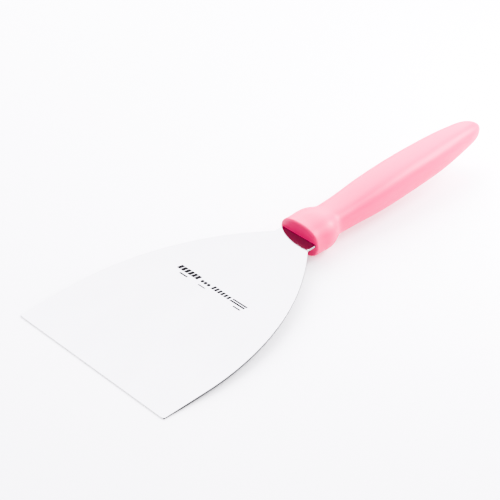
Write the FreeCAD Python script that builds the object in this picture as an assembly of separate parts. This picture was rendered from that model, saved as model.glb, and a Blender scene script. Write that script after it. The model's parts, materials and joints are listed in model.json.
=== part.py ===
import FreeCAD, Part
import math
import os

# Wide flat spatula: one steel blade whose hidden tang sits in a one-piece moulded plastic handle.
# Millimetres. Both pieces are drawn with the tool laid straight: the middle of the front edge at
# the origin, +X across the blade, +Y along the tool to the handle's tail, and the blade's
# mid-plane at Z = 0. At the end they are tipped to lie as the loose tool lies on a table.

# Blade
BLADE_THICKNESS = 1.0  # after both faces are ground and polished, as far back as the handle
FRONT_WIDTH = 100.0
FRONT_CORNER_CHAMFER = 0.5  # the two front corners are blunted
SIDE_SPLAY = math.radians(1.05)  # how far each straight side leans outwards
SIDE_STRAIGHT = 23.3  # how far back the straight sides reach
SIDE_ARC_RADIUS = 141.5  # the bell curve from the straight side in to the neck
NECK_HALF_WIDTH = 11.4
SHOULDER_RADIUS = 0.8  # inside corner between the bell curve and the neck
EDGE_THICKNESS = 0.5  # at the front edge, ground from the underside only
GRIND_LENGTH = 12.0
HANDLE_FACE_Y = 128.7  # where the blade goes into the handle

# Tang, the hidden part of the blade
TANG_THICKNESS = 1.1  # the sheet as it was rolled
NECK_DEPTH = 0.8  # how far the full neck goes into the handle
TANG_HALF_WIDTH = 6.5
TANG_TAPER = 6.0  # length over which the neck narrows to the tang
TANG_LENGTH = 95.0  # from the handle's front face to the tang's round end
ANCHOR_HOLE_RADIUS = 2.5
ANCHOR_HOLE_DEPTHS = (25.0, 50.0, 75.0)  # behind the handle's front face

# Handle: distance behind the front face, half width, half height, height of the middle, squareness
HANDLE_SECTIONS = (
    (0.0, 12.7, 8.6, -0.7, 2.4),  # front face
    (4.0, 12.4, 8.8, -0.95, 2.4),
    (9.0, 12.7, 9.1, -1.1, 2.3),  # crown of the collar
    (13.0, 12.0, 8.6, -1.0, 2.4),
    (16.0, 10.6, 7.6, -0.9, 2.5),
    (18.0, 9.6, 7.0, -0.85, 2.5),  # the collar ends
    (22.0, 9.1, 6.7, -0.9, 2.6),  # waist
    (32.0, 9.35, 7.0, -0.95, 2.7),
    (44.0, 10.1, 7.75, -0.8, 2.7),
    (58.0, 10.35, 8.3, -0.5, 2.7),  # widest part of the grip
    (73.0, 10.2, 8.3, -0.2, 2.7),
    (89.0, 9.8, 8.0, -0.1, 2.6),
    (104.0, 8.65, 7.15, 0.35, 2.5),
    (116.0, 7.1, 5.95, 0.65, 2.4),  # here the tail's rounding begins
)
HANDLE_LENGTH = 128.2
TAIL_TAPER = 0.17  # the half width keeps falling by this much per millimetre in the tail
TAIL_ROUNDING = (0.3, 0.55, 0.75, 0.88, 0.96, 0.995)  # sections, as parts of the tail's length
SECTION_POINTS = 32
FACE_RIM_RADIUS = 1.0

CUT_MARGIN = 5.0  # how far a cutting solid reaches past what it cuts
UP = FreeCAD.Vector(0, 0, 1)
ACROSS = FreeCAD.Vector(1, 0, 0)
LIE_STEPS = 6  # enough for the angle to settle


def blade_outline():
    """Closed outline of the blade, neck and tang in the mid-plane."""
    straight_x = FRONT_WIDTH / 2 + SIDE_STRAIGHT * math.tan(SIDE_SPLAY)
    centre_x = straight_x - SIDE_ARC_RADIUS * math.cos(SIDE_SPLAY)
    centre_y = SIDE_STRAIGHT + SIDE_ARC_RADIUS * math.sin(SIDE_SPLAY)
    shoulder_angle = math.acos((NECK_HALF_WIDTH - centre_x) / SIDE_ARC_RADIUS)
    middle_angle = (shoulder_angle - SIDE_SPLAY) / 2
    tang_round_y = HANDLE_FACE_Y + TANG_LENGTH - TANG_HALF_WIDTH

    def on_arc(angle):
        return (centre_x + SIDE_ARC_RADIUS * math.cos(angle), centre_y + SIDE_ARC_RADIUS * math.sin(angle))

    half = [
        (FRONT_WIDTH / 2, 0.0),
        (straight_x, SIDE_STRAIGHT),
        on_arc(shoulder_angle),
        (NECK_HALF_WIDTH, HANDLE_FACE_Y + NECK_DEPTH),
        (TANG_HALF_WIDTH, HANDLE_FACE_Y + NECK_DEPTH + TANG_TAPER),
        (TANG_HALF_WIDTH, tang_round_y),
    ]
    edges = []
    for side in (1, -1):
        points = [FreeCAD.Vector(side * x, y, 0) for x, y in half]
        arc_x, arc_y = on_arc(middle_angle)
        edges.append(Part.LineSegment(points[0], points[1]).toShape())
        edges.append(Part.Arc(points[1], FreeCAD.Vector(side * arc_x, arc_y, 0), points[2]).toShape())
        for start, end in zip(points[2:], points[3:]):
            edges.append(Part.LineSegment(start, end).toShape())
    front_right = FreeCAD.Vector(FRONT_WIDTH / 2, 0, 0)
    front_left = FreeCAD.Vector(-FRONT_WIDTH / 2, 0, 0)
    tang_right = FreeCAD.Vector(TANG_HALF_WIDTH, tang_round_y, 0)
    tang_left = FreeCAD.Vector(-TANG_HALF_WIDTH, tang_round_y, 0)
    tang_tip = FreeCAD.Vector(0, HANDLE_FACE_Y + TANG_LENGTH, 0)
    edges.append(Part.LineSegment(front_left, front_right).toShape())
    edges.append(Part.Arc(tang_right, tang_tip, tang_left).toShape())
    return Part.Wire(Part.__sortEdges__(edges))


def upright_edges_at(shape, half_width, low_y, high_y):
    """The sheet's upright edges at that distance from the middle line, between two places along it."""
    found = []
    for edge in shape.Edges:
        box = edge.BoundBox
        upright = box.ZLength > TANG_THICKNESS / 2 and box.XLength + box.YLength < 0.01
        in_place = abs(abs(box.XMin) - half_width) < 0.1 and low_y < box.YMin < high_y
        if upright and in_place:
            found.append(edge)
    return found


def polished_off(side):
    """The layer taken off one side of the sheet, everywhere outside the handle."""
    width = FRONT_WIDTH + 2 * CUT_MARGIN
    low_z = BLADE_THICKNESS / 2 if side > 0 else -BLADE_THICKNESS / 2 - CUT_MARGIN
    corner = FreeCAD.Vector(-width / 2, -CUT_MARGIN, low_z)
    return Part.makeBox(width, HANDLE_FACE_Y + CUT_MARGIN, CUT_MARGIN, corner)


def front_grind():
    """The wedge taken off the underside at the front edge."""
    slope = (BLADE_THICKNESS - EDGE_THICKNESS) / GRIND_LENGTH
    edge_z = BLADE_THICKNESS / 2 - EDGE_THICKNESS
    underside = -BLADE_THICKNESS / 2
    side = FRONT_WIDTH / 2 + CUT_MARGIN
    profile = [
        (GRIND_LENGTH, underside),
        (-CUT_MARGIN, edge_z + slope * CUT_MARGIN),
        (-CUT_MARGIN, underside - CUT_MARGIN),
        (GRIND_LENGTH, underside - CUT_MARGIN),
    ]
    corners = [FreeCAD.Vector(-side, y, z) for y, z in profile]
    face = Part.Face(Part.makePolygon(corners + corners[:1]))
    return face.extrude(ACROSS * 2 * side)


def make_blade():
    """Blade, neck and tang: one flat sheet with anchor holes and a ground front edge."""
    sheet = Part.Face(blade_outline())
    sheet.translate(-UP * TANG_THICKNESS / 2)
    blade = sheet.extrude(UP * TANG_THICKNESS)
    corners = upright_edges_at(blade, FRONT_WIDTH / 2, -0.1, 0.1)
    blade = blade.makeChamfer(FRONT_CORNER_CHAMFER, corners)
    shoulders = upright_edges_at(blade, NECK_HALF_WIDTH, HANDLE_FACE_Y - 10, HANDLE_FACE_Y - 1)
    blade = blade.makeFillet(SHOULDER_RADIUS, shoulders)
    for side in (1, -1):
        blade = blade.cut(polished_off(side))
    blade = blade.cut(front_grind())
    for depth in ANCHOR_HOLE_DEPTHS:
        foot = FreeCAD.Vector(0, HANDLE_FACE_Y + depth, -TANG_THICKNESS)
        blade = blade.cut(Part.makeCylinder(ANCHOR_HOLE_RADIUS, 2 * TANG_THICKNESS, foot, UP))
    return blade


def tail_section(part_of_tail):
    """One section of the tail, where the half width tapers and rounds off to the end."""
    start, half_width, half_height, middle, squareness = HANDLE_SECTIONS[-1]
    distance = part_of_tail * (HANDLE_LENGTH - start)
    shrink = (1 - TAIL_TAPER * distance / half_width) * math.sqrt(1 - part_of_tail**3)
    return (start + distance, half_width * shrink, half_height * shrink, middle, squareness)


def section_wire(distance, half_width, half_height, middle, squareness):
    """Closed curve round one section of the handle: a superellipse, square to the tool's length."""
    points = []
    for step in range(SECTION_POINTS):
        turn = 2 * math.pi * step / SECTION_POINTS
        x = math.copysign(abs(math.cos(turn)) ** (2 / squareness), math.cos(turn))
        z = math.copysign(abs(math.sin(turn)) ** (2 / squareness), math.sin(turn))
        points.append(FreeCAD.Vector(half_width * x, HANDLE_FACE_Y + distance, middle + half_height * z))
    curve = Part.BSplineCurve()
    curve.interpolate(Points=points, PeriodicFlag=True)
    return Part.Wire(curve.toShape())


def make_handle(blade):
    """Moulded handle with its rounded face rim, and the pocket and plugs that the blade's tang fills."""
    sections = list(HANDLE_SECTIONS) + [tail_section(part) for part in TAIL_ROUNDING]
    wires = [section_wire(*section) for section in sections]
    handle = Part.makeLoft(wires, True, False)
    rim = [edge for edge in handle.Edges if edge.BoundBox.YMax < HANDLE_FACE_Y + 0.1]
    handle = handle.makeFillet(FACE_RIM_RADIUS, rim)
    return handle.cut(blade)


def lowest_z(shape):
    """Height of the shape's lowest point."""
    return shape.optimalBoundingBox(False, False).ZMin


def lie_angle(handle):
    """Angle in degrees that puts the front edge and the collar's underside on one level surface."""
    edge = FreeCAD.Vector(0, 0, BLADE_THICKNESS / 2 - EDGE_THICKNESS)
    collar_y = HANDLE_FACE_Y + HANDLE_SECTIONS[2][0]
    angle = 0.0
    for _ in range(LIE_STEPS):
        tipped = handle.copy()
        tipped.rotate(edge, ACROSS, angle)
        angle += math.degrees(math.atan2(edge.z - lowest_z(tipped), collar_y))
    return angle


def main():
    blade = make_blade()
    handle = make_handle(blade)
    angle = lie_angle(handle)
    for piece in (blade, handle):
        piece.rotate(FreeCAD.Vector(0, 0, 0), ACROSS, angle)
    box = Part.makeCompound([blade, handle]).optimalBoundingBox(False, False)
    to_origin = FreeCAD.Vector(-box.Center.x, -box.Center.y, -box.ZMin)
    os.makedirs("parts", exist_ok=True)
    for name, piece in (("blade", blade), ("handle", handle)):
        piece.translate(to_origin)
        piece.exportStep("parts/" + name + ".step")
        print(name, "valid", piece.isValid(), "solids", len(piece.Solids), "volume", round(piece.Volume, 1))
    print("lie angle", round(angle, 3), "origin moved by", to_origin)
    print("size", round(box.XLength, 2), round(box.YLength, 2), round(box.ZLength, 2))


main()
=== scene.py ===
"""Wide flat spatula: the finished look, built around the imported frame.

Lengths are written in millimetres, in the tool's own frame: the middle of the front edge at the
origin, +X across the blade, +Y along the tool to the handle's tail, the blade's mid-plane at Z = 0.
tool_to_row() tips that frame onto the surface that the loose tool lies on.
"""

import json
import math

import bpy
import numpy as np
from mathutils import Matrix, Vector

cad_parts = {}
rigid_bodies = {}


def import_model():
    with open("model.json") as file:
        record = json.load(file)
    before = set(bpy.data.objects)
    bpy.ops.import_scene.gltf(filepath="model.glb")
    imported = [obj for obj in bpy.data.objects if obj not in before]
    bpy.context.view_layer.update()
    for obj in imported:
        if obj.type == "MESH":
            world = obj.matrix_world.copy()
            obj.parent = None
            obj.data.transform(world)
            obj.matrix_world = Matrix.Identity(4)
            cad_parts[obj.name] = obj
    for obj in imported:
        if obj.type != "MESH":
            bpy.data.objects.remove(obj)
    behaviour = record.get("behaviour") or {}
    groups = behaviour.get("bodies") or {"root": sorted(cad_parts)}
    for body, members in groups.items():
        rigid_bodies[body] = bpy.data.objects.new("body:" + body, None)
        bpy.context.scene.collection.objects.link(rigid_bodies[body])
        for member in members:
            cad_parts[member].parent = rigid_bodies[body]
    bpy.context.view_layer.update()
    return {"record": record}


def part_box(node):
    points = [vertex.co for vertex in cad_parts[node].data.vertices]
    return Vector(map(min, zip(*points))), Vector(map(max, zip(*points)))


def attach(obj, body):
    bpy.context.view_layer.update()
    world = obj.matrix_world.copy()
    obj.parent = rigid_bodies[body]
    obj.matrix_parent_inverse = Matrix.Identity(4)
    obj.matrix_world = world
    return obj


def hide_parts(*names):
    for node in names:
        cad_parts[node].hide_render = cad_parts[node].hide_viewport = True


MM = 0.001

# Blade
BLADE_THICKNESS = 1.0
FRONT_WIDTH = 100.0
FRONT_CORNER_RADIUS = 0.8
SIDE_SPLAY = math.radians(1.05)
SIDE_STRAIGHT = 23.3
SIDE_ARC_RADIUS = 141.5
NECK_HALF_WIDTH = 11.4
SHOULDER_LENGTH = 0.35  # half the length of the rounding between the bell curve and the neck
EDGE_THICKNESS = 0.5
GRIND_LENGTH = 12.0
EDGE_ROUNDING = 0.12  # every edge is tumbled smooth
HANDLE_FACE_Y = 128.7
ROW_STEP = 1.6
CORNER_STEP = 0.12
SHOULDER_STEP = 0.14
COLUMNS = 40
EDGE_POINTS = 4  # round each side edge

# Tang, inside the handle
TANG_THICKNESS = 1.1
TANG_STEP_DEPTH = 0.4  # the polishing stops this far inside the handle
NECK_DEPTH = 0.8
TANG_HALF_WIDTH = 6.5
TANG_TAPER = 6.0
TANG_LENGTH = 95.0
TANG_STEP_Y = HANDLE_FACE_Y + TANG_STEP_DEPTH
TANG_STEP_LENGTH = 0.05
NECK_END_Y = HANDLE_FACE_Y + NECK_DEPTH
TANG_ROUND_Y = HANDLE_FACE_Y + TANG_LENGTH - TANG_HALF_WIDTH  # where the tang's round end starts
ANCHOR_HOLE_RADIUS = 2.5
ANCHOR_HOLE_DEPTHS = (25.0, 50.0, 75.0)
DRILL_SIDES = 48

# Handle: distance behind the front face, half width, half height, height of the middle, squareness
HANDLE_SECTIONS = (
    (0.0, 12.7, 8.6, -0.7, 2.4),
    (4.0, 12.4, 8.8, -0.95, 2.4),
    (9.0, 12.7, 9.1, -1.1, 2.3),
    (13.0, 12.0, 8.6, -1.0, 2.4),
    (16.0, 10.6, 7.6, -0.9, 2.5),
    (18.0, 9.6, 7.0, -0.85, 2.5),
    (22.0, 9.1, 6.7, -0.9, 2.6),
    (32.0, 9.35, 7.0, -0.95, 2.7),
    (44.0, 10.1, 7.75, -0.8, 2.7),
    (58.0, 10.35, 8.3, -0.5, 2.7),
    (73.0, 10.2, 8.3, -0.2, 2.7),
    (89.0, 9.8, 8.0, -0.1, 2.6),
    (104.0, 8.65, 7.15, 0.35, 2.5),
    (116.0, 7.1, 5.95, 0.65, 2.4),
)
HANDLE_LENGTH = 128.2
TAIL_TAPER = 0.17
FACE_RIM_RADIUS = 1.0
RIM_STEPS = 6
RING_STEP = 0.6
RING_POINTS = 120
TAIL_RINGS = 40
SEAM_HEIGHT = 0.05  # the mould's parting line, a fine raised line down both sides
SEAM_WIDTH = 0.22
SEAM_TURNS = (0.006, 0.012, 0.02, 0.03)  # extra points of each ring, in radians from the parting line

# Printed mark on the blade's top. Its shapes are placed from its left end, on its baseline.
MARK_LEFT = -24.5
MARK_Y = 72.8
MARK_HEIGHT = 0.02  # half of it stands proud of the steel
MARK_SLANT = 0.25
HEAVY_BARS = (0.0, 6, 2.4, 1.95, 2.9)  # left end, how many, pitch, width, height
LIGHT_BARS = (23.4, 6, 2.1, 1.45, 2.6)
LIGHT_BAR_DROP = 0.1  # each light bar is this much shorter than the one before
DOTS = (16.9, 3, 2.1, 0.92)  # middle of the first, how many, pitch, radius
DOT_Y = 1.0
DOT_POINTS = 24
LINES = (  # left end, right end, lower edge, upper edge
    (36.4, 45.8, 0.0, 0.9),
    (36.4, 45.8, 1.4, 2.2),
    (4.6, 9.8, -2.2, -1.4),
    (17.6, 22.2, -2.2, -1.6),
    (41.0, 45.6, -2.0, -1.3),
)

# Studio
AIM = (-17.7, -15.06, 0.0)  # the point of the row frame that the camera looks at
CAMERA_DISTANCE = 841.14
CAMERA_ELEVATION = math.radians(34.416)
CAMERA_AZIMUTH = math.radians(46.998)  # from behind the front edge round towards the tool's right side
LENS = 126.0
SENSOR_WIDTH = 36.0
FLOOR_HALF_SIZE = 20000.0
FLOOR_COLOUR = (0.8, 0.8, 0.8, 1)
FLOOR_GLOW = 0.4  # the floor also shines a little, like a light table
LIGHT_COLOUR = (1.03, 1.0, 1.09)
# Soft round patches of bright sky: azimuth (0 along +X, 90 along +Y) and elevation of the middle, the
# angles from the middle where the patch starts and ends its fading, and its radiance
SKY_GLOWS = (
    (245, 20, 25, 50, 0.85),  # in front of the handle's front face
    (55, 28, 10, 34, 2.8),  # behind and right, for the handle's right flank
)
SKY_RADIANCE = 0.7
# Square soft lights facing the tool: position in the row frame, side, and power in watts
SOFT_LIGHTS = {
    "panel": ((-530, 420, 600), 1000, 16.8),  # the blade mirrors it
    "back_light": ((200, 500, 200), 300, 0.6),
    "tail_light": ((90, 255, 220), 160, 1.15),
}
LIGHTS_AIM = (0, 50, 0)


def clear_default_objects():
    """Leaves an empty scene, whatever start-up file Blender came with."""
    for item in list(bpy.data.objects):
        bpy.data.objects.remove(item)


def tool_to_row():
    """The matrix from the tool's frame in millimetres to the row frame in metres."""
    mount = next(m for m in frame["record"]["mounts"] if m["name"] == "blade_top")
    lie = math.atan2(-mount["axis"][1], mount["axis"][2])
    top_edge_back = BLADE_THICKNESS / 2 * math.sin(lie) * MM
    front_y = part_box("blade")[0].y + top_edge_back
    low_edge_z = (BLADE_THICKNESS / 2 - EDGE_THICKNESS) * math.cos(lie) * MM
    front_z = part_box("blade")[0].z - low_edge_z
    return Matrix.Translation((0, front_y, front_z)) @ Matrix.Rotation(lie, 4, "X") @ Matrix.Scale(MM, 4)


def add_object(name, data):
    """A new object in the scene."""
    item = bpy.data.objects.new(name, data)
    bpy.context.scene.collection.objects.link(item)
    return item


def mesh_piece(name, verts, faces):
    """A mesh object from points in the tool's frame, placed in the row frame."""
    mesh = bpy.data.meshes.new(name)
    mesh.from_pydata([TO_ROW @ Vector(v) for v in verts], [], faces)
    mesh.validate()
    return add_object(name, mesh)


def circle(x, y, radius, points):
    """Outline of a circle."""
    turns = [2 * math.pi * i / points for i in range(points)]
    return [(x + radius * math.cos(turn), y + radius * math.sin(turn)) for turn in turns]


def prism(outline, low, high, first=0):
    """Points and faces of an upright prism, with its first point numbered first."""
    count = len(outline)
    verts = [(x, y, z) for z in (low, high) for x, y in outline]
    faces = [tuple(reversed(range(first, first + count))), tuple(range(first + count, first + 2 * count))]
    for i in range(count):
        j = (i + 1) % count
        faces.append((first + i, first + j, first + count + j, first + count + i))
    return verts, faces


def skin(rings, count):
    """Quads between each closed ring of that many points and the next ring."""
    faces = []
    for ring in range(rings - 1):
        a, b = ring * count, (ring + 1) * count
        for i in range(count):
            j = (i + 1) % count
            faces.append((a + i, b + i, b + j, a + j))
    return faces


def cut_away(piece, cutter):
    """Takes the cutter's shape out of the piece."""
    modifier = piece.modifiers.new("cut", "BOOLEAN")
    modifier.operation = "DIFFERENCE"
    modifier.solver = "EXACT"
    modifier.object = cutter
    apply_modifiers(piece)


def apply_modifiers(piece):
    """Turns the piece's modifiers into mesh."""
    shown = piece.evaluated_get(bpy.context.evaluated_depsgraph_get())
    mesh = bpy.data.meshes.new_from_object(shown)
    piece.modifiers.clear()
    piece.data = mesh


def shade(piece, angle):
    """Smooth shading that leaves flat faces flat and edges sharper than the angle crisp."""
    for face in piece.data.polygons:
        face.use_smooth = True
    piece.data.set_sharp_from_angle(angle=math.radians(angle))
    weighted = piece.modifiers.new("flat_faces", "WEIGHTED_NORMAL")
    weighted.keep_sharp = True
    weighted.weight = 100
    apply_modifiers(piece)


# Blade ---------------------------------------------------------------------------------------


def bell_centre():
    """Middle of the right side's arc, which starts in line with the straight side."""
    straight_x = FRONT_WIDTH / 2 + SIDE_STRAIGHT * math.tan(SIDE_SPLAY)
    centre_x = straight_x - SIDE_ARC_RADIUS * math.cos(SIDE_SPLAY)
    return centre_x, SIDE_STRAIGHT + SIDE_ARC_RADIUS * math.sin(SIDE_SPLAY)


def bell_half_width(y):
    """Half width of the blade between the straight sides and the neck."""
    centre_x, centre_y = bell_centre()
    return centre_x + math.sqrt(SIDE_ARC_RADIUS**2 - (y - centre_y) ** 2)


def shoulder_y():
    """Where the bell curve reaches the neck."""
    centre_x, centre_y = bell_centre()
    return centre_y + math.sqrt(SIDE_ARC_RADIUS**2 - (NECK_HALF_WIDTH - centre_x) ** 2)


def half_width(y):
    """Half width of the blade, neck or tang at a distance from the front edge."""
    radius = FRONT_CORNER_RADIUS
    shoulder = shoulder_y()
    if y < radius:
        return FRONT_WIDTH / 2 - radius + math.sqrt(radius**2 - (radius - y) ** 2)
    if y < SIDE_STRAIGHT:
        return FRONT_WIDTH / 2 + y * math.tan(SIDE_SPLAY)
    if y < shoulder - SHOULDER_LENGTH:
        return bell_half_width(y)
    if y < shoulder + SHOULDER_LENGTH:
        part = (y - shoulder + SHOULDER_LENGTH) / (2 * SHOULDER_LENGTH)
        start = bell_half_width(shoulder - SHOULDER_LENGTH)
        return NECK_HALF_WIDTH + (start - NECK_HALF_WIDTH) * (1 - part) ** 2
    if y < NECK_END_Y:
        return NECK_HALF_WIDTH
    if y < NECK_END_Y + TANG_TAPER:
        return NECK_HALF_WIDTH + (TANG_HALF_WIDTH - NECK_HALF_WIDTH) * (y - NECK_END_Y) / TANG_TAPER
    if y < TANG_ROUND_Y:
        return TANG_HALF_WIDTH
    return math.sqrt(max(TANG_HALF_WIDTH**2 - (y - TANG_ROUND_Y) ** 2, 0.0))


def spaced(start, end, step):
    """Evenly spaced places from start up to, and not including, end."""
    count = max(1, math.ceil((end - start) / step))
    return [start + (end - start) * i / count for i in range(count)]


def blade_rows():
    """Distances from the front edge where the blade's mesh has a row of points."""
    shoulder = shoulder_y()
    rounding = [EDGE_ROUNDING * (1 - math.sin(math.radians(a))) for a in (90, 60, 30)]
    rows = rounding + spaced(EDGE_ROUNDING, FRONT_CORNER_RADIUS, CORNER_STEP)
    rows += spaced(FRONT_CORNER_RADIUS, GRIND_LENGTH, ROW_STEP)
    rows += spaced(GRIND_LENGTH, SIDE_STRAIGHT, ROW_STEP)
    rows += spaced(SIDE_STRAIGHT, shoulder - SHOULDER_LENGTH, ROW_STEP)
    rows += spaced(shoulder - SHOULDER_LENGTH, shoulder + SHOULDER_LENGTH, SHOULDER_STEP)
    rows += spaced(shoulder + SHOULDER_LENGTH, TANG_STEP_Y, ROW_STEP)
    rows += [TANG_STEP_Y, TANG_STEP_Y + TANG_STEP_LENGTH]
    rows += spaced(NECK_END_Y, NECK_END_Y + TANG_TAPER, ROW_STEP)
    rows += spaced(NECK_END_Y + TANG_TAPER, TANG_ROUND_Y, 2 * ROW_STEP)
    rows += [TANG_ROUND_Y + TANG_HALF_WIDTH * math.sin(math.radians(a)) for a in range(0, 86, 5)]
    return rows


def blade_row(y):
    """One closed row of points round the sheet: across the top, down one edge, back underneath."""
    rounding = EDGE_ROUNDING
    half_thickness = (BLADE_THICKNESS if y <= TANG_STEP_Y else TANG_THICKNESS) / 2
    top = half_thickness
    bottom = -half_thickness + max(0.0, 1 - y / GRIND_LENGTH) * (BLADE_THICKNESS - EDGE_THICKNESS)
    if y < rounding:
        front_drop = rounding - math.sqrt(rounding**2 - (rounding - y) ** 2)
        top -= front_drop
        bottom += front_drop
    wide = half_width(y)
    near = 0.01
    slope = (half_width(y + near) - half_width(max(y - near, 0.0))) / (2 * near)
    inset = min(rounding * math.hypot(1, min(abs(slope), 2.0)), wide / 3)
    cut = 1 - math.sin(math.radians(45))
    across = [-1 + 2 * i / COLUMNS for i in range(COLUMNS + 1)]
    top_row = [((wide - inset) * u, y, top) for u in across]
    right = [
        (wide - inset * cut, y, top - rounding * cut),
        (wide, y, top - rounding),
        (wide, y, bottom + rounding),
        (wide - inset * cut, y, bottom + rounding * cut),
    ]
    bottom_row = [((wide - inset) * u, y, bottom) for u in reversed(across)]
    left = [(-x, y, z) for x, y, z in reversed(right)]
    return top_row + right + bottom_row + left


def end_faces(first, flip):
    """Quads that close one end of the blade's rows; first is the row's first point."""
    last_top = first + COLUMNS
    bottom_start = last_top + EDGE_POINTS + 1
    faces = [
        (first + i, first + i + 1, bottom_start + COLUMNS - i - 1, bottom_start + COLUMNS - i)
        for i in range(COLUMNS)
    ]
    faces.append(tuple(range(last_top, bottom_start + 1)))
    left_start = bottom_start + COLUMNS
    faces.append(tuple(range(left_start, left_start + EDGE_POINTS + 1)) + (first,))
    return [face[::-1] for face in faces] if flip else faces


def make_blade():
    """Blade, neck and tang: a sheet with tumbled edges, a ground front and anchor holes."""
    rows = [blade_row(y) for y in blade_rows()]
    count = len(rows[0])
    faces = skin(len(rows), count) + end_faces(0, False) + end_faces((len(rows) - 1) * count, True)
    blade = mesh_piece("spatula_blade", [point for row in rows for point in row], faces)
    for depth in ANCHOR_HOLE_DEPTHS:
        drill = make_drill(depth)
        cut_away(blade, drill)
        bpy.data.objects.remove(drill)
    shade(blade, 50)
    return blade


def make_drill(depth):
    """A cylinder through the tang, the size of one anchor hole."""
    outline = circle(0, HANDLE_FACE_Y + depth, ANCHOR_HOLE_RADIUS, DRILL_SIDES)
    return mesh_piece("drill", *prism(outline, -TANG_THICKNESS, TANG_THICKNESS))


# Handle --------------------------------------------------------------------------------------


def smooth_curve(places, values):
    """A natural cubic spline through the values at the places, as a function of the place."""
    x, y = np.array(places), np.array(values)
    gap = np.diff(x)
    count = len(x)
    matrix = np.eye(count)
    right = np.zeros(count)
    for i in range(1, count - 1):
        matrix[i, i - 1 : i + 2] = gap[i - 1], 2 * (gap[i - 1] + gap[i]), gap[i]
        right[i] = 6 * ((y[i + 1] - y[i]) / gap[i] - (y[i] - y[i - 1]) / gap[i - 1])
    bend = np.linalg.solve(matrix, right)

    def at(place):
        i = min(max(int(np.searchsorted(x, place)) - 1, 0), count - 2)
        a, b = (x[i + 1] - place) / gap[i], (place - x[i]) / gap[i]
        curve = ((a**3 - a) * bend[i] + (b**3 - b) * bend[i + 1]) * gap[i] ** 2 / 6
        return a * y[i] + b * y[i + 1] + curve

    return at


def handle_rings():
    """Each ring's distance behind the front face and how far it is drawn in from the full section."""
    rings = []
    for step in range(RIM_STEPS):
        turn = math.pi / 2 * step / RIM_STEPS
        rings.append((FACE_RIM_RADIUS * (1 - math.cos(turn)), FACE_RIM_RADIUS * (1 - math.sin(turn))))
    tail_start = HANDLE_SECTIONS[-1][0]
    rings += [(distance, 0.0) for distance in spaced(FACE_RIM_RADIUS, tail_start, RING_STEP)]
    for step in range(TAIL_RINGS):
        part = math.sin(math.pi / 2 * step / TAIL_RINGS)
        rings.append((tail_start + part * (HANDLE_LENGTH - tail_start), 0.0))
    return rings


def section_at(distance):
    """Half width, half height, height of the middle and squareness of the handle's section."""
    tail_start = HANDLE_SECTIONS[-1][0]
    if distance <= tail_start:
        return tuple(curve(distance) for curve in SECTION_CURVES)
    _, half_x, half_z, middle, squareness = HANDLE_SECTIONS[-1]
    part = (distance - tail_start) / (HANDLE_LENGTH - tail_start)
    shrink = (1 - TAIL_TAPER * (distance - tail_start) / half_x) * math.sqrt(1 - part**3)
    return half_x * shrink, half_z * shrink, middle, squareness


def ring_turns():
    """Angles round a ring, closer together where the parting line runs."""
    turns = {2 * math.pi * i / RING_POINTS for i in range(RING_POINTS)}
    for side in (0.0, math.pi):
        for offset in SEAM_TURNS:
            turns.update({(side + offset) % (2 * math.pi), (side - offset) % (2 * math.pi)})
    return sorted(turns)


def ring_point(turn, distance, inset, section):
    """A point on the handle's skin."""
    half_x, half_z, middle, squareness = section
    half_x, half_z = half_x - inset, half_z - inset
    cos, sin = math.cos(turn), math.sin(turn)
    reach = (abs(cos / half_x) ** squareness + abs(sin / half_z) ** squareness) ** (-1 / squareness)
    x, z = reach * cos, reach * sin
    seam = SEAM_HEIGHT * math.exp(-((z / (SEAM_WIDTH / 2)) ** 2)) if half_x > 1 else 0.0
    return (x + math.copysign(seam, x), HANDLE_FACE_Y + distance, middle + z)


def make_handle(blade):
    """Moulded handle, with the pocket that the blade's tang fills."""
    turns, rings = ring_turns(), handle_rings()
    verts = []
    for distance, inset in rings:
        section = section_at(distance)
        verts += [ring_point(turn, distance, inset, section) for turn in turns]
    count, tip = len(turns), len(verts)
    verts.append((0, HANDLE_FACE_Y + HANDLE_LENGTH, HANDLE_SECTIONS[-1][3]))
    faces = [tuple(range(count))] + skin(len(rings), count)
    last = tip - count
    faces += [(last + i, tip, last + (i + 1) % count) for i in range(count)]
    handle = mesh_piece("spatula_handle", verts, faces)
    cut_away(handle, blade)
    shade(handle, 40)
    return handle


# Printed mark --------------------------------------------------------------------------------


def bar(left, right, low, high):
    """Outline of a plain slanted bar."""
    return [
        (left + MARK_SLANT * low, low),
        (right + MARK_SLANT * low, low),
        (right + MARK_SLANT * high, high),
        (left + MARK_SLANT * high, high),
    ]


def bars(left, count, pitch, width, height, drop):
    """Outlines of a row of slanted bars that stand on the baseline."""
    starts = [left + pitch * i for i in range(count)]
    return [bar(start, start + width, 0.0, height - drop * i) for i, start in enumerate(starts)]


def dots(first, count, pitch, radius):
    """Outlines of a row of round dots."""
    return [circle(first + pitch * i, DOT_Y, radius, DOT_POINTS) for i in range(count)]


def mark_outlines():
    """A plain band of bars, dots and lines."""
    heavy, light = bars(*HEAVY_BARS, 0.0), bars(*LIGHT_BARS, LIGHT_BAR_DROP)
    return heavy + dots(*DOTS) + light + [bar(*line) for line in LINES]


def make_mark():
    """The print: thin plates of ink let halfway into the blade's top face."""
    verts, faces = [], []
    face_z = BLADE_THICKNESS / 2
    for outline in mark_outlines():
        placed = [(MARK_LEFT + x, MARK_Y + y) for x, y in outline]
        plate = prism(placed, face_z - MARK_HEIGHT / 2, face_z + MARK_HEIGHT / 2, len(verts))
        verts += plate[0]
        faces += plate[1]
    return mesh_piece("printed_mark", verts, faces)


# Materials -----------------------------------------------------------------------------------


def new_material(name):
    """A new material, its node tree and its main shader."""
    material = bpy.data.materials.new(name)
    material.use_nodes = True
    return material, material.node_tree, material.node_tree.nodes["Principled BSDF"]


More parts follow.
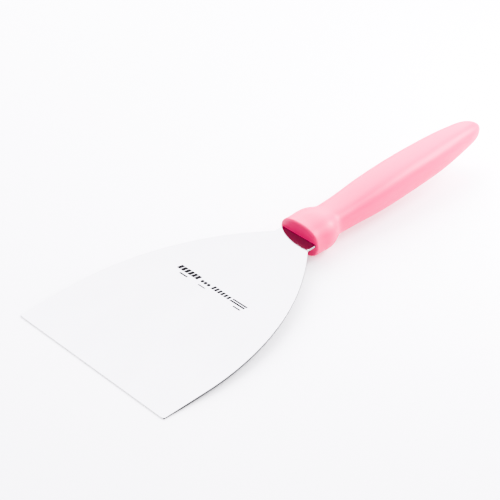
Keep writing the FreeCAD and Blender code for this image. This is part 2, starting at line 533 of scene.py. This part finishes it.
def add_node(tree, kind, **inputs):
    """A new node with those input values; an input's spaces are written as underscores."""
    node = tree.nodes.new(kind)
    for name, value in inputs.items():
        node.inputs[name.replace("_", " ")].default_value = value
    return node


def noise(tree, cells, detail=3.0):
    """A noise pattern with that many cells per metre along X, Y and Z, from 0 to 1."""
    place = add_node(tree, "ShaderNodeTexCoord")
    stretch = add_node(tree, "ShaderNodeMapping", Scale=cells)
    pattern = add_node(tree, "ShaderNodeTexNoise", Scale=1.0, Detail=detail)
    tree.links.new(place.outputs["Object"], stretch.inputs["Vector"])
    tree.links.new(stretch.outputs["Vector"], pattern.inputs["Vector"])
    return pattern.outputs["Fac"]


def vary(tree, pattern, socket, low, high):
    """Drives a number on the shader between low and high by a pattern."""
    spread = add_node(tree, "ShaderNodeMapRange", From_Min=0.3, From_Max=0.7, To_Min=low, To_Max=high)
    tree.links.new(pattern, spread.inputs["Value"])
    tree.links.new(spread.outputs["Result"], socket)


def vary_colour(tree, pattern, socket, first, second):
    """Drives a colour on the shader between two colours by a pattern."""
    ramp = add_node(tree, "ShaderNodeValToRGB")
    ramp.color_ramp.elements[0].position = 0.35
    ramp.color_ramp.elements[1].position = 0.65
    ramp.color_ramp.elements[0].color = (*first, 1)
    ramp.color_ramp.elements[1].color = (*second, 1)
    tree.links.new(pattern, ramp.inputs["Fac"])
    tree.links.new(ramp.outputs["Color"], socket)


def emboss(tree, shader, layers):
    """Relief on the surface: each layer is a pattern and its height in metres."""
    below = None
    for pattern, height in layers:
        bump = add_node(tree, "ShaderNodeBump", Strength=1.0, Distance=height)
        tree.links.new(pattern, bump.inputs["Height"])
        if below:
            tree.links.new(below, bump.inputs["Normal"])
        below = bump.outputs["Normal"]
    tree.links.new(below, shader.inputs["Normal"])


def steel_material():
    """Polished stainless steel with fine polishing lines along the tool and a few faint smears."""
    material, tree, shader = new_material("polished_steel")
    lines = noise(tree, (3500, 30, 3500))
    smears = noise(tree, (45, 25, 45))
    shader.inputs["Metallic"].default_value = 1.0
    vary_colour(tree, smears, shader.inputs["Base Color"], (0.325, 0.325, 0.325), (0.335, 0.335, 0.335))
    vary(tree, lines, shader.inputs["Roughness"], 0.07, 0.12)
    emboss(tree, shader, [(lines, 4e-7), (smears, 2e-6)])
    return material


def edge_steel_painted_light(name, brightness, roughness):
    """Steel for the sheet's edges, slightly grainy, in a given grey that paints light or shade onto the
    edge: a light grey is a painted highlight, a dark one is painted shade.
    """
    material, tree, shader = new_material(name)
    grain = noise(tree, (4000, 4000, 4000))
    shader.inputs["Metallic"].default_value = 1.0
    shader.inputs["Base Color"].default_value = (brightness, brightness, brightness, 1)
    vary(tree, grain, shader.inputs["Roughness"], roughness, roughness + 0.06)
    emboss(tree, shader, [(grain, 1e-6)])
    return material


def plastic_material():
    """Satin pink polypropylene: lightly cloudy, with the mould's fine grain and slight waviness."""
    material, tree, shader = new_material("pink_polypropylene")
    grain = noise(tree, (2600, 2600, 2600))
    flow = noise(tree, (70, 35, 70))
    shader.inputs["Subsurface Weight"].default_value = 0.15
    shader.inputs["Subsurface Radius"].default_value = (1.0, 0.3, 0.45)
    shader.inputs["Subsurface Scale"].default_value = 0.002
    vary_colour(tree, flow, shader.inputs["Base Color"], (0.83, 0.0208, 0.154), (0.85, 0.0232, 0.165))
    vary(tree, grain, shader.inputs["Roughness"], 0.38, 0.46)
    emboss(tree, shader, [(grain, 6e-6), (flow, 4e-5)])
    return material


def ink_material():
    """Matt black ink, a little uneven."""
    material, tree, shader = new_material("matt_ink")
    grain = noise(tree, (1500, 1500, 1500))
    shader.inputs["Specular IOR Level"].default_value = 0.1
    vary_colour(tree, grain, shader.inputs["Base Color"], (0.010, 0.010, 0.011), (0.018, 0.018, 0.019))
    vary(tree, grain, shader.inputs["Roughness"], 0.6, 0.8)
    emboss(tree, shader, [(grain, 2e-6)])
    return material


def floor_material():
    """Plain matt white sheet with a fine paper grain."""
    material, tree, shader = new_material("pale_floor")
    grain = noise(tree, (900, 900, 900))
    shader.inputs["Base Color"].default_value = FLOOR_COLOUR
    shader.inputs["Emission Color"].default_value = FLOOR_COLOUR
    shader.inputs["Emission Strength"].default_value = FLOOR_GLOW
    vary(tree, grain, shader.inputs["Roughness"], 0.55, 0.68)
    emboss(tree, shader, [(grain, 5e-6)])
    return material


def dress(piece, material):
    """Gives the whole piece one material."""
    piece.data.materials.clear()
    piece.data.materials.append(material)


def paint_edge_light_and_shade(blade):
    """Paints light and shade onto the blade's edges, up to the neck: a painted highlight on the front
    edge and painted shade on the sides.
    """
    # Lit and shaded copies of the steel: a bright one on the front edge as a painted highlight, a nearly
    # black one on the sides as painted shade.
    blade.data.materials.append(edge_steel_painted_light("front_edge_painted_highlight", 0.95, 0.2))
    blade.data.materials.append(edge_steel_painted_light("side_edge_painted_shade", 0.08, 0.3))
    to_tool, neck_start = TO_ROW.inverted(), shoulder_y()
    for face in blade.data.polygons:
        upright = abs(face.normal.z) < 0.5
        if upright and (to_tool @ face.center).y < neck_start:
            # Faces turned to the front get the painted highlight, side faces get the painted shade.
            in_front = face.normal.y < -0.8
            face.material_index = 1 if in_front else 2


# Studio --------------------------------------------------------------------------------------


def make_camera():
    """The camera, above the blade's front right corner."""
    data = bpy.data.cameras.new("camera")
    data.lens = LENS
    data.sensor_width = SENSOR_WIDTH
    camera = add_object("camera", data)
    level = math.cos(CAMERA_ELEVATION)
    to_camera = Vector((
        level * math.sin(CAMERA_AZIMUTH),
        -level * math.cos(CAMERA_AZIMUTH),
        math.sin(CAMERA_ELEVATION),
    ))
    camera.location = (Vector(AIM) + to_camera * CAMERA_DISTANCE) * MM
    camera.rotation_euler = (-to_camera).to_track_quat("-Z", "Y").to_euler()
    bpy.context.scene.camera = camera


def make_floor():
    """A wide level floor under the tool."""
    reach = FLOOR_HALF_SIZE * MM
    mesh = bpy.data.meshes.new("floor")
    corners = [(-reach, -reach, 0), (reach, -reach, 0), (reach, reach, 0), (-reach, reach, 0)]
    mesh.from_pydata(corners, [], [(0, 1, 2, 3)])
    floor = add_object("floor", mesh)
    dress(floor, floor_material())


def sky_glow(tree, place, azimuth, elevation, inner, outer, radiance):
    """One soft round patch of sky: full inside the inner angle, nothing outside the outer one."""
    turn, rise = math.radians(azimuth), math.radians(elevation)
    middle = (math.cos(rise) * math.cos(turn), math.cos(rise) * math.sin(turn), math.sin(rise))
    closeness = add_node(tree, "ShaderNodeVectorMath")
    closeness.operation = "DOT_PRODUCT"
    closeness.inputs[1].default_value = middle
    tree.links.new(place, closeness.inputs[0])
    fade = add_node(
        tree,
        "ShaderNodeMapRange",
        From_Min=math.cos(math.radians(outer)),
        From_Max=math.cos(math.radians(inner)),
        To_Max=radiance,
    )
    fade.interpolation_type = "SMOOTHSTEP"
    tree.links.new(closeness.outputs["Value"], fade.inputs["Value"])
    return fade.outputs["Result"]


def make_world(glows, radiance):
    """An even sky of that radiance with the glows added to it."""
    world = bpy.data.worlds.new("studio")
    world.use_nodes = True
    tree = world.node_tree
    background = tree.nodes["Background"]
    background.inputs["Color"].default_value = (*LIGHT_COLOUR, 1)
    background.inputs["Strength"].default_value = radiance
    place = add_node(tree, "ShaderNodeTexCoord").outputs["Generated"]
    total = None
    for glow in glows:
        add = add_node(tree, "ShaderNodeMath")
        add.inputs[1].default_value = radiance
        if total:
            tree.links.new(total, add.inputs[1])
        tree.links.new(sky_glow(tree, place, *glow), add.inputs[0])
        total = add.outputs["Value"]
        tree.links.new(total, background.inputs["Strength"])
    bpy.context.scene.world = world


def make_soft_light(name, place, side, watts):
    """A square soft light that faces the tool."""
    data = bpy.data.lights.new(name, "AREA")
    data.size = side * MM
    data.energy = watts
    data.color = LIGHT_COLOUR
    light = add_object(name, data)
    light.location = Vector(place) * MM
    back = Vector(place) - Vector(LIGHTS_AIM)
    light.rotation_euler = back.to_track_quat("Z", "Y").to_euler()
    light.visible_camera = False


def set_film():
    """How radiance becomes picture colour."""
    settings = bpy.context.scene.view_settings
    settings.view_transform = "AgX"
    settings.look = "AgX - Very High Contrast"


clear_default_objects()
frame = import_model()
TO_ROW = tool_to_row()
columns = list(zip(*HANDLE_SECTIONS))
SECTION_CURVES = [smooth_curve(columns[0], column) for column in columns[1:]]

blade = make_blade()
handle = make_handle(blade)
mark = make_mark()
dress(blade, steel_material())
# Painted highlight on the blade's front edge and painted shade on its side edges.
paint_edge_light_and_shade(blade)
dress(handle, plastic_material())
dress(mark, ink_material())
for piece, slot in ((blade, "blade_steel"), (handle, "handle_plastic"), (mark, "printed_mark")):
    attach(piece, "root")
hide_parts("blade")
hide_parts("handle")

make_camera()
make_floor()
make_world(SKY_GLOWS, SKY_RADIANCE)
for name, light in SOFT_LIGHTS.items():
    make_soft_light(name, *light)
set_film()
